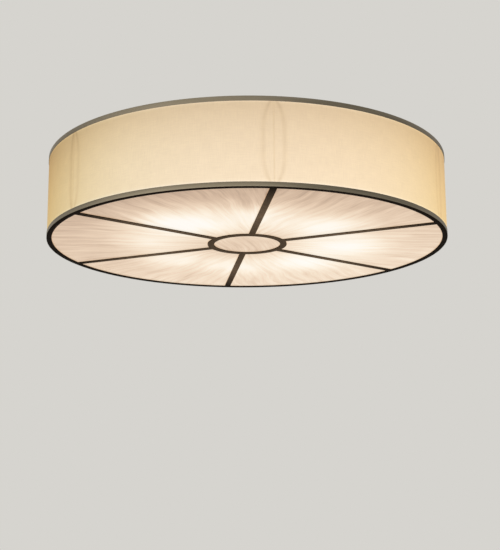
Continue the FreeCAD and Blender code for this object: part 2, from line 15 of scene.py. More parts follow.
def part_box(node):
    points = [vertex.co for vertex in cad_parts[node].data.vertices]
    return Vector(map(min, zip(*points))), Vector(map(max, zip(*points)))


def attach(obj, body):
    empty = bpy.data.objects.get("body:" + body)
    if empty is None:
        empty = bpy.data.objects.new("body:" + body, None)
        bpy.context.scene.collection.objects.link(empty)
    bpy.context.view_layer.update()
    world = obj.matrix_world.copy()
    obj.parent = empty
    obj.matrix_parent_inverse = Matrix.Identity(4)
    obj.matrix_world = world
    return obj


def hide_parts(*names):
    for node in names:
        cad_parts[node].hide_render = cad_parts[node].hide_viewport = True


bl_info = {
    "name": "Drum Ceiling Light",
    "version": (1, 0, 0),
    "blender": (4, 5, 0),
    "location": "View3D > Sidebar > Ceiling Light",
    "description": "Finishes a drum ceiling light round its frame: cloth, metal, acrylic and glow",
    "category": "Object",
}

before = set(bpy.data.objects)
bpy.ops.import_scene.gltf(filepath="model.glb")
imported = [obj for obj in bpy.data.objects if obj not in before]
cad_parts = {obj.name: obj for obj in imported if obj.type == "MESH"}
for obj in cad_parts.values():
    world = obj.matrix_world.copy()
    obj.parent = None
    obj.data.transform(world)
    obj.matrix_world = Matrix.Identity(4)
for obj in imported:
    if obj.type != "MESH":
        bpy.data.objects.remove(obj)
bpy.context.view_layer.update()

SIDES = 6
LAMPS = 8
MM = 0.001


# ---- Colours

def linear(code):
    """The linear colour of an sRGB hex code, as three numbers."""
    parts = [int(code[k:k + 2], 16) / 255 for k in (1, 3, 5)]
    return tuple(p / 12.92 if p <= 0.04045 else ((p + 0.055) / 1.055) ** 2.4 for p in parts)


def opaque(colour):
    """An sRGB hex code or a linear colour as the four numbers that a socket takes."""
    if isinstance(colour, str):
        colour = linear(colour)
    return (*colour[:3], 1.0)


# ---- Places read from the frame

def reach(node):
    """The outer radius of a round node: the largest number in its box."""
    low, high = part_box(node)
    return max(abs(low.x), abs(low.y), high.x, high.y)


def span(node):
    """The lowest and highest z of a node."""
    low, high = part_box(node)
    return low.z, high.z


def lamp_places():
    """Centre of each lamp's globe: the middle of its box, one globe's radius above the bottom."""
    places = []
    for k in range(1, LAMPS + 1):
        low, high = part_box(f"lamp_{k}")
        middle = (low + high) / 2
        places.append((middle.x, middle.y, low.z + (high.x - low.x) / 2))
    return np.array(places)


DRUM_RADIUS = reach("bottom_band")
RIM_OUTER = reach("rim")
RIM_INNER = -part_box("spoke_1")[0].y
HUB_OUTER = reach("hub_ring")
CLOTH_OUTER = reach("shade_panel_2")
RING_INNER = -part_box("bowed_rod_1")[0].y
ROD_INNER = -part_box("bowed_rod_1")[1].y
DISC_RADIUS = reach("diffuser_disc")
SPOKE_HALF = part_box("spoke_1")[1].x
ROD_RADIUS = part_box("bowed_rod_1")[1].x
LAMP_RADIUS = (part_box("lamp_1")[1].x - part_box("lamp_1")[0].x) / 2
LAMP_CENTRES = lamp_places()


# ---- Properties

def size(name, description, value):
    """A length that a user may change."""
    return bpy.props.FloatProperty(name=name, description=description, default=value, min=0.0,
                                   precision=4, unit="LENGTH")


def share(name, description, value, most=1.0):
    """A plain number that a user may change."""
    return bpy.props.FloatProperty(name=name, description=description, default=value,
                                   min=0.0, max=most)


def colour(name, description, code):
    """A colour that a user may change, from an sRGB hex code."""
    return bpy.props.FloatVectorProperty(name=name, description=description, size=3, min=0.0,
                                         max=1.0, subtype="COLOR", default=linear(code))


class DrumSizes(bpy.types.PropertyGroup):
    """Sizes of the finished surfaces that the frame doesn't give."""

    hub_opening: size("Hub opening", "Radius of the opening in the hub ring", 101.6 * MM)
    panel_gap: size("Panel gap", "From a spoke's centre line to a diffuser panel's edge", 5.0 * MM)
    panel_start: size("Panel start", "From the axis to the panels' straight ends", 108.5 * MM)
    panel_rim_radius: size("Panel outer radius", "Radius of the panels' outer edge", 603.0 * MM)
    rod_bend: size("Rod bend", "Radius of the bends at both ends of a rod", 115.0 * MM)
    cloth_thickness: size("Cloth thickness", "Cloth and its stiff backing", 0.8 * MM)
    seam_gap: size("Seam gap", "Between two cloth panels", 0.5 * MM)
    edge_radius: size("Edge radius", "Rounding of the bands' and rings' edges", 0.5 * MM)
    rim_lip: size("Rim lip", "Thickness of the rim's lip under the bottom band", 0.9 * MM)
    ring_bar: size("Ring bar", "Thickness of the two inner rings", 3.0 * MM)
    # width of the bands' painted reflection, which is paler at their outer edges
    painted_sheen_edge: size("Worn edge", "Width of the bands' paler edge", 14.0 * MM)
    yarn_pitch: size("Yarn pitch", "Spacing of the slubs that show in the cloth", 2.8 * MM)
    yarn_length: size("Yarn length", "Length of a slub along its yarn", 30.0 * MM)
    brush_width: size("Brush width", "Spacing of the brush lines on the bands", 1.5 * MM)
    brush_length: size("Brush length", "Length of a brush line", 160.0 * MM)
    streak_width: size("Streak width", "Width of a broad streak in the acrylic", 21.0 * MM)
    streak_length: size("Streak length", "Length of a broad streak in the acrylic", 210.0 * MM)
    hair_width: size("Hair width", "Width of a fine streak in the acrylic", 5.0 * MM)
    hair_length: size("Hair length", "Length of a fine streak in the acrylic", 120.0 * MM)
    streak_sway: size("Streak sway", "How far the streaks wander sideways", 85.0 * MM)
    fan_radius: size("Fan radius", "Where a fanned streak is as wide as it is drawn", 420.0 * MM)
    frame_glow: size("Frame glow", "How far the glow beside the frame reaches in", 4.0 * MM)
    band_glow: size("Band glow", "How far the glow beside a band reaches up the cloth", 2.5 * MM)
    seam_reach: size("Seam reach", "Half the width of the dim line at a seam", 1.6 * MM)
    lamp_drop: size("Lamp drop", "How much lower the lamps count for the panels", 27.0 * MM)


class DrumColours(bpy.types.PropertyGroup):
    """Colours of the finishes."""

    cloth: colour("Cloth", "Linen yarn in plain light", "#A78D6B")
    cloth_shade: colour("Cloth hollows", "Between the yarns in plain light", "#A28767")
    pewter: colour("Pewter", "Satin pewter bands", "#857C6D")
    pewter_dark: colour("Pewter lines", "Brush lines in the bands", "#6D6657")
    bronze: colour("Bronze", "Dark bronze of the rim and the spokes", "#17100A")
    # paler bronze of the painted highlight on the spokes
    bronze_painted_highlight: colour("Rubbed bronze", "Bronze where a spoke is rubbed", "#8F7963")
    acrylic: colour("Acrylic", "Streaked acrylic in plain light", "#8F7A6B")
    acrylic_streak: colour("Acrylic streaks", "Denser streaks in plain light", "#7F6B5D")
    enamel: colour("Enamel", "White powder coat", "#E3E0D8")


class DrumGlow(bpy.types.PropertyGroup):
    """How the lamps light the cloth and the acrylic from inside."""

    lamps: bpy.props.FloatVectorProperty(
        name="Lamps", description="How much each lamp shows on the panels, from the front one on",
        size=LAMPS, min=0.0, default=(1.0, 1.3, 1.45, 1.25, 0.75, 0.75, 0.55, 2.5))
    cloth_lamps: bpy.props.FloatVectorProperty(
        name="Lamps on the cloth", description="How much each lamp shows on the cloth",
        size=LAMPS, min=0.0, default=(0.31, 2.64, 1.41, 1.3, 1.05, 1.05, 0.6, 4.86))
    rod_lamps: bpy.props.FloatVectorProperty(
        name="Lamps behind the rods", description="How much each lamp shows in the rods' shadows",
        size=LAMPS, min=0.0, default=(0.15, 1.0, 1.0, 1.0, 0.15, 1.0, 1.0, 1.0))
    cloth_level: share("Cloth level", "Brightness of the cloth's glow", 0.035)
    cloth_bounce: share("Cloth bounce", "Light thrown back up the cloth by the panels", 0.60, 5.0)
    # painted light: the next two tint the cloth's glow by side, paler in front and behind
    cloth_painted_side_gold: share("Cloth depth", "How much more golden the cloth is at the drum's sides", 0.715)
    cloth_painted_right_gold: share("Cloth side", "How much more golden the cloth is at its right side", 0.26)
    lens_level: share("Panel level", "Brightness of the panels' glow", 0.048)
    lens_base: share("Panel base", "Even light on the panels", 0.21)
    lens_bounce: share("Panel bounce", "Light thrown back on the panels by the cloth", 0.93, 5.0)
    # painted glare: the next two paint the panels' glow brighter towards one side and dimmer towards
    # the other
    lens_painted_glare: share("Panel tone", "How much browner the acrylic is at its darkest side", 0.62)
    lens_glare_side: bpy.props.FloatProperty(name="Palest side", subtype="ANGLE",
                                       description="Angle of the side where the acrylic is palest",
                                       default=math.radians(157))
    rod_depth: share("Rod depth", "How strongly the rods' shadows show", 1.0, 5.0)
    rod_focus: share("Rod focus", "How much more the near lamps count in the shadows", 1.5, 5.0)
    band_edge: share("Band edge", "How much brighter the cloth is right beside a band", 0.8, 5.0)
    seam_depth: share("Seam depth", "How much light the tape behind a seam takes away", 0.20)


def sizes():
    return bpy.context.scene.drum_sizes


def colours():
    return bpy.context.scene.drum_colours


def glow():
    return bpy.context.scene.drum_glow


# ---- Surfaces

def unit(angle):
    """The direction of an angle measured from -Y towards +X, for a number or an array."""
    return np.stack([np.sin(angle), -np.cos(angle)], axis=-1)


def into_scene(name, data):
    """An object of the given data, in the scene."""
    made = bpy.data.objects.new(name, data)
    bpy.context.scene.collection.objects.link(made)
    return made


def fill_mesh(name, points, faces, uv):
    """An object from points, four-cornered faces and one UV pair in metres for each corner."""
    mesh = bpy.data.meshes.new(name)
    mesh.vertices.add(len(points))
    mesh.vertices.foreach_set("co", points.astype(np.float32).ravel())
    mesh.loops.add(faces.size)
    mesh.loops.foreach_set("vertex_index", faces.astype(np.int32).ravel())
    mesh.polygons.add(len(faces))
    mesh.polygons.foreach_set("loop_start", np.arange(0, faces.size, 4, dtype=np.int32))
    mesh.update(calc_edges=True)
    mesh.polygons.foreach_set("use_smooth", np.ones(len(faces), dtype=bool))
    layer = mesh.uv_layers.new(name="metres")
    layer.data.foreach_set("uv", uv.astype(np.float32).ravel())
    mesh.set_sharp_from_angle(angle=math.radians(50))
    return into_scene(name, mesh)


def turned_ring(name, outline, segments=360):
    """A closed outline carried round the axis.

    Point (i, j) is outline point j, a radius and a height, turned by 2 pi i / segments. The outline
    goes counter-clockwise with the radius to the right, which turns the faces outwards.
    UV is the arc length at the drum's radius and the length along the outline.
    """
    outline = np.array(outline, float)
    count = len(outline)
    angle = np.linspace(0, 2 * np.pi, segments, endpoint=False)
    flat = unit(angle)[:, None, :] * outline[None, :, :1]
    height = np.broadcast_to(outline[None, :, 1:], (segments, count, 1))
    points = np.concatenate([flat, height], axis=2).reshape(-1, 3)
    row, column = np.meshgrid(np.arange(segments), np.arange(count), indexing="ij")
    rows = np.stack([row, row + 1, row + 1, row], axis=-1).reshape(-1, 4)
    columns = np.stack([column, column, column + 1, column + 1], axis=-1).reshape(-1, 4)
    faces = (rows % segments) * count + columns % count
    steps = np.linalg.norm(np.roll(outline, -1, axis=0) - outline, axis=1)
    along = np.concatenate([[0], np.cumsum(steps)])
    arc = rows * (2 * np.pi * DRUM_RADIUS / segments)
    return fill_mesh(name, points, faces, np.stack([arc, along[columns]], axis=-1))


def eased_outline(inner, outer, low, high):
    """A rectangle of radius and height whose corners are quarter circles of four points each."""
    edge, turns = sizes().edge_radius, np.linspace(0, np.pi / 2, 4)
    corners = [(outer - edge, low + edge, -np.pi / 2), (outer - edge, high - edge, 0),
               (inner + edge, high - edge, np.pi / 2), (inner + edge, low + edge, np.pi)]
    parts = [np.stack([r + edge * np.cos(start + turns), z + edge * np.sin(start + turns)], axis=1)
             for r, z, start in corners]
    return np.concatenate(parts)


def closed_sheet(name, front, back, uv):
    """A sheet with two faces and a wall round its edge.

    front and back are grids of points (rows, columns, 3), and uv is a grid of pairs. The front's
    faces turn by row and then by column, the back's the other way, and the wall joins the two
    borders.
    """
    rows, columns = front.shape[:2]
    number = np.arange(rows * columns).reshape(rows, columns)
    face = np.stack([number[:-1, :-1], number[1:, :-1], number[1:, 1:], number[:-1, 1:]], axis=-1)
    face = face.reshape(-1, 4)
    border = np.concatenate([number[0, :-1], number[:-1, -1], number[-1, :0:-1], number[:0:-1, 0]])
    following = np.roll(border, -1)
    shift = rows * columns
    wall = np.stack([border, following, following + shift, border + shift], axis=-1)
    faces = np.concatenate([face, face[:, ::-1] + shift, wall])
    points = np.concatenate([front.reshape(-1, 3), back.reshape(-1, 3)])
    pairs = np.concatenate([uv.reshape(-1, 2), uv.reshape(-1, 2)])
    return fill_mesh(name, points, faces, pairs[faces])


def paint(piece, name, values):
    """Stores one colour or one number a point under a name that a material reads."""
    kind, key = ("FLOAT_COLOR", "color") if values.ndim == 2 else ("FLOAT", "value")
    layer = piece.data.attributes.new(name, kind, "POINT")
    if values.ndim == 2:
        values = np.concatenate([values, np.ones((len(values), 1))], axis=1)
    layer.data.foreach_set(key, values.astype(np.float32).ravel())


def places(piece):
    """The points of a mesh as an array."""
    flat = np.zeros(len(piece.data.vertices) * 3, np.float32)
    piece.data.vertices.foreach_get("co", flat)
    return flat.reshape(-1, 3).astype(float)


# ---- Light from the lamps

LENS_TINT = (1.0, 0.615, 0.385)    # what the warm acrylic lets through
CLOTH_TINT = (1.0, 0.505, 0.136)   # what the linen lets through
LENS_MOST = 0.80                   # brightest glow of the acrylic
CLOTH_MOST = 0.734                 # brightest glow of the linen


def exposed(light, tint, most):
    """Light seen through a tint, as a colour that runs up to white: most * (1 - exp(-light * tint))."""
    return most * (1 - np.exp(-np.asarray(light)[..., None] * np.asarray(tint)))


def lamp_light(points, facing, strengths, drop=0.0):
    """Light of each lamp on each point, as an array (lamps, points).

    It is the lamp's strength times the cosine at the surface over the distance squared, times the
    lamp's own spread, which falls from 1 straight down to 0 straight up.
    """
    rays = points[None, :, :] - (LAMP_CENTRES - (0, 0, drop))[:, None, :]
    far = np.linalg.norm(rays, axis=2)
    cosine = np.clip((rays * facing[None, :, :]).sum(axis=2) / far, 0, None)
    spread = 0.5 - 0.5 * rays[:, :, 2] / far
    return np.array(strengths)[:, None] * cosine * spread / far ** 2


def rod_line(angle, count=120):
    """Points along a bowed rod's middle: an arc in from the top ring, a straight run and an arc out.

    The arcs share the radius that the rod's bend has, and both end on the ring's inner face.
    """
    low, high = span("bowed_rod_1")
    middle = ROD_INNER + ROD_RADIUS
    bow = RING_INNER - middle
    bend = sizes().rod_bend
    rise = math.sqrt(bend ** 2 - (bend - bow) ** 2)
    z = np.linspace(low, high, count)
    past = np.clip(np.maximum(z - (high - rise), (low + rise) - z), 0, rise)
    radius = middle + bend - np.sqrt(bend ** 2 - past ** 2)
    return np.concatenate([unit(angle) * radius[:, None], z[:, None]], axis=1)


def rod_shadow(points, lamp, rod):
    """Share of one lamp that a rod hides from each point.

    The line from a point to the lamp passes the rod at some distance. Seen from the point, the
    lamp's globe is as wide there as the globe times the share of the way gone, so the shadow is a
    soft stroke: a bell curve of that distance, as deep as the rod is wide for its spread. The lamp
    counts as 0.9 of its globe, because its middle is the brightest, and the cloth itself blurs the
    stroke by 1.2 mm.
    """
    globe, cloth_blur = 0.9 * 2 * LAMP_RADIUS, 1.2 * MM
    to_lamp = lamp - points
    whole = np.linalg.norm(to_lamp, axis=1)
    way = to_lamp / whole[:, None]
    along = way @ rod.T - (way * points).sum(axis=1)[:, None]
    square = ((rod ** 2).sum(axis=1)[None, :] + (points ** 2).sum(axis=1)[:, None]
              - 2 * points @ rod.T - along ** 2)
    nearest = square.argmin(axis=1)
    pick = np.arange(len(points))
    apart = np.sqrt(np.clip(square[pick, nearest], 0, None))
    gone = along[pick, nearest] / whole
    blur = globe * np.clip(gone, 0, 1)
    wide = np.sqrt(ROD_RADIUS ** 2 / 3 + blur ** 2 / 4 + cloth_blur ** 2)
    deep = np.minimum(1, 2 * ROD_RADIUS / (wide * math.sqrt(2 * math.pi)))
    return deep * np.exp(-0.5 * (apart / wide) ** 2)


# ---- Materials

def add(material, kind, inputs=(), **settings):
    """Adds one shader node. An input is a value or another node's output."""
    made = material.node_tree.nodes.new(kind)
    for key, value in settings.items():
        setattr(made, key, value)
    for key, value in dict(inputs).items():
        if isinstance(value, bpy.types.NodeSocket):
            material.node_tree.links.new(value, made.inputs[key])
        else:
            made.inputs[key].default_value = value
    return made


def new_material(name, **sockets):
    """A material and its Principled shader, with the shader's own sockets set."""
    material = bpy.data.materials.new(name)
    material.use_nodes = True
    shader = material.node_tree.nodes["Principled BSDF"]
    for key, value in sockets.items():
        shader.inputs[key.replace("_", " ")].default_value = value
    return material, shader


def link(shader, **sources):
    """Joins outputs to a shader's sockets, whose names are written with _ for a space."""
    for key, source in sources.items():
        shader.id_data.links.new(source, shader.inputs[key.replace("_", " ")])


def pattern(material, source, grain, detail=3.0, offset=(0.0, 0.0, 0.0)):
    """Noise whose features have the given size in metres along each axis of the source."""
    scale = tuple(1.0 / g for g in grain)
    mapped = add(material, "ShaderNodeMapping", {"Vector": source, "Scale": scale,
                                                 "Location": offset})
    noise = add(material, "ShaderNodeTexNoise", {"Vector": mapped.outputs["Vector"], "Scale": 1.0,
                                                 "Detail": detail})
    return noise.outputs["Fac"]


def ranged(material, value, low, high, start=0.3, end=0.7):
    """A noise value between start and end, carried to between low and high."""
    made = add(material, "ShaderNodeMapRange", {"Value": value, "From Min": start, "From Max": end,
                                                "To Min": low, "To Max": high})
    return made.outputs["Result"]


def mixed(material, factor, first, second, blend="MIX"):
    """A mix of two colours; each is a hex code, a linear colour or an output."""
    first, second = [value if isinstance(value, bpy.types.NodeSocket) else opaque(value)
                     for value in (first, second)]
    return add(material, "ShaderNodeMix", {0: factor, 6: first, 7: second},
               data_type="RGBA", blend_type=blend).outputs[2]


def maths(material, operation, *values):
    """The result of a maths node on numbers or outputs."""
    return add(material, "ShaderNodeMath", dict(enumerate(values)), operation=operation).outputs[0]


def scaled(material, colour, factor):
    """A colour times a number, both outputs."""
    made = add(material, "ShaderNodeVectorMath", {0: colour, "Scale": factor}, operation="SCALE")
    return made.outputs["Vector"]


def glow_colour(material, level, tint, most, peak=8.0):
    """Colour of light that shines through a tint, for a level that a node gives.

    A colour ramp follows most * (1 - exp(-level * tint)) from a level of 0 to the peak.
    """
    ramp = add(material, "ShaderNodeValToRGB", {"Fac": maths(material, "MULTIPLY", level, 1 / peak)})
    stops = ramp.color_ramp.elements
    steps = [0.0, 0.05, 0.1, 0.16, 0.24, 0.35, 0.5, 0.7, 1.0]
    while len(stops) < len(steps):
        stops.new(1.0)
    for stop, step in zip(stops, steps):
        stop.position = step
        stop.color = opaque(exposed(step * peak, tint, most))
    return ramp.outputs["Color"]


def coordinates(material, which):
    return add(material, "ShaderNodeTexCoord").outputs[which]


def level_of(material):
    """The height of each point over the frame's origin."""
    place = coordinates(material, "Object")
    return add(material, "ShaderNodeSeparateXYZ", {0: place}).outputs["Z"]


def painted(material, name, output):
    """What a mesh has stored under a name."""
    return add(material, "ShaderNodeAttribute", attribute_name=name).outputs[output]


def bumped(material, shader, height, depth):
    """Joins a height to the shader's normal. depth is in metres."""
    bump = add(material, "ShaderNodeBump", {"Height": height, "Distance": depth, "Strength": 1.0})
    link(shader, Normal=bump.outputs["Normal"])


def grained(name, first, second, grain, rough, depth, detail=4.0, **sockets):
    """A finish with one fine grain: two close colours, a roughness that swings and a light bump.

    The grain's size along x, y and z and the bump's depth are in millimetres.
    """
    material, shader = new_material(name, **sockets)
    size_of_grain = [g * MM for g in grain]
    noise = pattern(material, coordinates(material, "Object"), size_of_grain, detail)
    tone = mixed(material, ranged(material, noise, 0.0, 1.0), first, second)
    link(shader, Base_Color=tone, Roughness=ranged(material, noise, *rough))
    bumped(material, shader, noise, depth * MM)
    return material


def lit_linen():
    """Plain-woven linen laminated to a stiff backing: matt, slubby, and lit from behind.

    The real yarns are about 0.6 mm apart, too fine to show here, so the slubs are drawn at the
    pitch at which they show in a whole view.
    """
    material, shader = new_material("lit_linen", Roughness=0.92, Sheen_Weight=0.12,
                                    Sheen_Roughness=0.6, Specular_IOR_Level=0.15,
                                    Emission_Strength=1.0)
    place = coordinates(material, "UV")
    pitch, length = sizes().yarn_pitch, sizes().yarn_length
    weft = pattern(material, place, (length, pitch, 1), 2.0)
    warp = pattern(material, place, (pitch, length, 1), 2.0, offset=(31.7, 5.3, 0))
    cloud = pattern(material, place, (14 * pitch, 14 * pitch, 1))
    both = maths(material, "ADD", weft, warp)
    yarn = ranged(material, both, 0.0, 1.0, 0.75, 1.25)
    through = maths(material, "MULTIPLY", ranged(material, both, 0.98, 1.02, 0.75, 1.25),
                    ranged(material, cloud, 0.975, 1.025))
    link(shader, Base_Color=mixed(material, yarn, colours().cloth_shade, colours().cloth),
         Emission_Color=scaled(material, painted(material, "lamplight", "Color"), through))
    bumped(material, shader, both, 0.12 * MM)
    return material


def streaked_acrylic():
    """Cast acrylic sheet with fine hair-like streaks: glossy below, and lit from above.

    The streaks let through less light and lie along the sheet in broad bands and fine hairs. Beside
    the frame the glow is stronger and warmer.
    """
    material, shader = new_material("streaked_acrylic", Roughness=0.32, IOR=1.49,
                                    Specular_IOR_Level=0.25, Emission_Strength=1.0)
    place = coordinates(material, "UV")
    wave = add(material, "ShaderNodeTexNoise", {"Vector": place, "Scale": 4.5, "Detail": 2.0})
    sway = add(material, "ShaderNodeVectorMath",
               {0: wave.outputs["Color"], 1: (0.5, 0.5, 0.5)}, operation="SUBTRACT")
    swayed = add(material, "ShaderNodeVectorMath",
                 {0: sway.outputs["Vector"], 1: (0.0, sizes().streak_sway, 0.0), 2: place},
                 operation="MULTIPLY_ADD").outputs["Vector"]
    broad = pattern(material, swayed, (sizes().streak_length, sizes().streak_width, 1))
    hairs = pattern(material, swayed, (sizes().hair_length, sizes().hair_width, 1),
                    offset=(7.1, 3.9, 0))
    cloud = pattern(material, place, (90 * MM, 60 * MM, 1), offset=(1.3, 8.7, 0))
    streak = maths(material, "MULTIPLY_ADD", broad, 0.7,
                   ranged(material, hairs, -0.05, 0.35, 0.0, 1.0))
    plain = mixed(material, ranged(material, streak, 0.0, 1.0, 0.35, 0.65),
                  colours().acrylic_streak, colours().acrylic)
    gap, reach_in = painted(material, "edge_gap", "Fac"), sizes().frame_glow
    level = painted(material, "lamplight", "Fac")
    for factor in (ranged(material, streak, 0.74, 1.34, 0.33, 0.67),
                   ranged(material, cloud, 0.9, 1.12), ranged(material, gap, 1.2, 1.0, 0.0, reach_in)):
        level = maths(material, "MULTIPLY", level, factor)
    warmed = mixed(material, ranged(material, gap, 0.8, 0.0, 0.0, reach_in),
                   glow_colour(material, level, LENS_TINT, LENS_MOST), "#FFE9D0", "MULTIPLY")
    link(shader, Base_Color=plain, Emission_Color=warmed)
    bumped(material, shader, streak, 0.15 * MM)
    return material


def satin_pewter():
    """Rolled steel strip with a satin pewter finish, in long brush lines.

    Its edge away from the cloth, at the drum's top or bottom, is a painted reflection: a little paler
    there, and a little darker towards the cloth.
    """
    material, shader = new_material("satin_pewter", Metallic=1.0)
    place = coordinates(material, "UV")
    lines = pattern(material, place, (sizes().brush_length, sizes().brush_width, 1))
    clouds = pattern(material, place, (0.35, 0.05, 1), 2.0)
    tone = ranged(material, maths(material, "ADD", lines, clouds), 0.0, 1.0, 0.75, 1.25)
    brushed = mixed(material, tone, colours().pewter_dark, colours().pewter)
    low, high = span("bottom_band")[0], span("top_band")[1]
    half = (high - low) / 2
    apart = maths(material, "SUBTRACT", level_of(material), (low + high) / 2)
    # painted reflection: the colour runs from 0.88 by the cloth to 1.14 at the band's outer edge
    painted_sheen = ranged(material, maths(material, "ABSOLUTE", apart), 0.88, 1.14,
                  half - sizes().painted_sheen_edge, half)
    link(shader, Base_Color=scaled(material, brushed, painted_sheen),
         Roughness=ranged(material, lines, 0.44, 0.60))
    bumped(material, shader, lines, 0.05 * MM)
    return material


def dark_bronze():
    """Flat steel bar, painted a dark bronze: matt, with a painted highlight half way along the spokes.

    The painted highlight shows on the lower faces alone. Distances count from the frame's origin.
    """
    material, shader = new_material("dark_bronze", Specular_IOR_Level=0.03)
    place = coordinates(material, "Object")
    far = add(material, "ShaderNodeVectorMath", {0: place}, operation="LENGTH").outputs["Value"]
    mottle = pattern(material, place, (18 * MM,) * 3, 4.0)
    bottom = span("rim")[0]
    # painted highlight: paler bronze half way along each spoke, standing in for light caught on the
    # bars
    painted_sheen = maths(material, "MINIMUM", ranged(material, far, 0.43, 0.95, 0.27, 0.42),
                 ranged(material, far, 0.95, 0.0, 0.40, 0.65))
    below = ranged(material, level_of(material), 1.0, 0.0, bottom + 0.2 * MM, bottom + 0.8 * MM)
    for factor in (ranged(material, mottle, 0.80, 1.10), below):
        painted_sheen = maths(material, "MULTIPLY", painted_sheen, factor)
    link(shader, Base_Color=mixed(material, painted_sheen, colours().bronze, colours().bronze_painted_highlight),
         Roughness=ranged(material, mottle, 0.72, 0.88))
    bumped(material, shader, mottle, 0.04 * MM)
    return material


def powder_coat():
    """White polyester powder coat: a faint orange peel, 3 mm across, over steel sheet."""
    return grained("powder_coat", colours().enamel, "#D6D2C8", (3, 3, 3), (0.42, 0.55), 0.05)


def zinc_plate():
    """Bright zinc on steel: bluish, with soft spangles of about 8 mm."""
    return grained("zinc_plate", "#B9BCC0", "#9CA0A5", (8, 8, 8), (0.30, 0.45), 0.02, Metallic=1.0)


def rod_paint():
    """Off-white paint on drawn steel rod, with faint runs along it."""
    return grained("rod_paint", "#DDD8CC", "#CBC4B4", (4, 4, 30), (0.45, 0.60), 0.04)


def bronze_nut():
    """The frame's dark bronze on small turned parts."""
    return grained("bronze_nut", "#2A2119", "#1C1510", (2, 2, 2), (0.45, 0.62), 0.02,
                   Specular_IOR_Level=0.3)


def glazed_porcelain():
    """White glaze on porcelain: glossy, with a slow waviness of about 12 mm."""
    return grained("glazed_porcelain", "#EFECE4", "#E4E0D5", (12, 12, 12), (0.12, 0.20), 0.10, 2.0,
                   Coat_Weight=0.4, Coat_Roughness=0.08)


def spun_brass():
    """Thin drawn brass with fine rings up its wall, 1 mm apart."""
    return grained("spun_brass", "#C9A45C", "#B08B45", (40, 40, 1), (0.28, 0.42), 0.03, Metallic=1.0)


def opal_lamp():
    """Opal globe over a pale collar, alight.

    The glow is whole up to 0.55 of the lamp's height, and gone at 0.72, where the collar begins.
    """
    material, shader = new_material("opal_lamp", Roughness=0.35, IOR=1.5, Emission_Strength=1.4)
    low, high = span("lamp_1")
    lit = ranged(material, level_of(material), 1.0, 0.0, low + 0.55 * (high - low),
                 low + 0.72 * (high - low))
    cloud = pattern(material, coordinates(material, "Object"), (15 * MM,) * 3, 2.0)
    link(shader, Base_Color=mixed(material, ranged(material, cloud, 0, 1), "#F2EFE8", "#E8E3D8"),
         Emission_Color=mixed(material, lit, "#000000", "#FFF0D2"))
    bumped(material, shader, cloud, 0.02 * MM)
    return material


def woven_sleeve():
    """Glass-fibre sleeve over a pair of wires: matt, with a braid of 1.2 mm."""
    return grained("woven_sleeve", "#E2DFD6", "#BDB8AC", (1.2, 1.2, 1.2), (0.70, 0.85), 0.10)


def black_nylon():
    """Moulded nylon: near black, with a fine spark-eroded texture of 0.8 mm."""
    return grained("black_nylon", "#1B1B1B", "#262626", (0.8, 0.8, 0.8), (0.55, 0.70), 0.03)


def moulded_block():
    """Cream thermoset moulding with flow marks of about 10 mm."""
    return grained("moulded_block", "#D9D2BE", "#CBC2A9", (10, 10, 10), (0.40, 0.55), 0.05)


def twist_connector():
    """Ribbed orange plastic caps: matt, with a grain of 1.5 mm along them."""
    return grained("twist_connector", "#C8692A", "#B25A20", (1.5, 1.5, 1.5), (0.50, 0.65), 0.15)


def green_plate():
    """Green passivated steel, as on an earth screw."""
    return grained("green_plate", "#2E7D45", "#215E33", (2, 2, 2), (0.30, 0.45), 0.02, Metallic=0.6)


def seam_paper():
    """Gummed paper tape: matt, with fibres of about 5 mm, and dimly lit from behind."""
    return grained("seam_paper", "#D9CDB2", "#C9BB9C", (5, 5, 5), (0.85, 0.95), 0.05,
                   Emission_Color=opaque("#D8B27A"), Emission_Strength=0.35)


def dress(nodes, material):
    """Gives CAD nodes their finish."""
    for name in nodes:
        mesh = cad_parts[name].data
        mesh.materials.clear()
        mesh.materials.append(material)


def finish_piece(piece, material, node, body):
    """Gives a new piece its finish, and puts it in the place of a node on its body."""
    piece.data.materials.append(material)
    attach(piece, body)
    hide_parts(node)


# ---- Pieces

class DRUM_OT_bands(bpy.types.Operator):
    """Trim bands round the top and the bottom of the cloth."""

    bl_idname = "drum.bands"
    bl_label = "Trim bands"

    def execute(self, context):
        metal = satin_pewter()
        for node, lip in (("top_band", 0.0), ("bottom_band", sizes().rim_lip)):
            low, high = span(node)
            outline = eased_outline(RIM_OUTER, DRUM_RADIUS, low + lip, high)
            finish_piece(turned_ring(f"{node}_strip", outline), metal, node, "drum")
        return {"FINISHED"}


class DRUM_OT_wheel(bpy.types.Operator):
    """Rim, spokes, hub ring and bottom inner ring."""

    bl_idname = "drum.wheel"
    bl_label = "Diffuser frame"

    def execute(self, context):
        metal = dark_bronze()
        rings = {"rim": (RIM_INNER, RIM_OUTER), "hub_ring": (sizes().hub_opening, HUB_OUTER),
                 "bottom_inner_ring": (RING_INNER, RING_INNER + sizes().ring_bar)}
        for node, (inner, outer) in rings.items():
            outline = eased_outline(inner, outer, *span(node))
            if node == "rim":
                outline = self.lipped(outline, span(node)[0])
            finish_piece(turned_ring(f"{node}_bar", outline), metal, node, "drum")
        dress([f"spoke_{k}" for k in range(1, SIDES + 1)], metal)
        return {"FINISHED"}

    def lipped(self, outline, low):
        """The rim's outline with a thin lip, which runs out under the band, for its lower corner."""
        end, lip, ease = DRUM_RADIUS - 0.1 * MM, sizes().rim_lip, 0.2 * MM
        lipped = [(end - ease, low), (end, low + ease), (end, low + lip), (RIM_OUTER, low + lip)]
        return np.concatenate([lipped, outline[4:]])


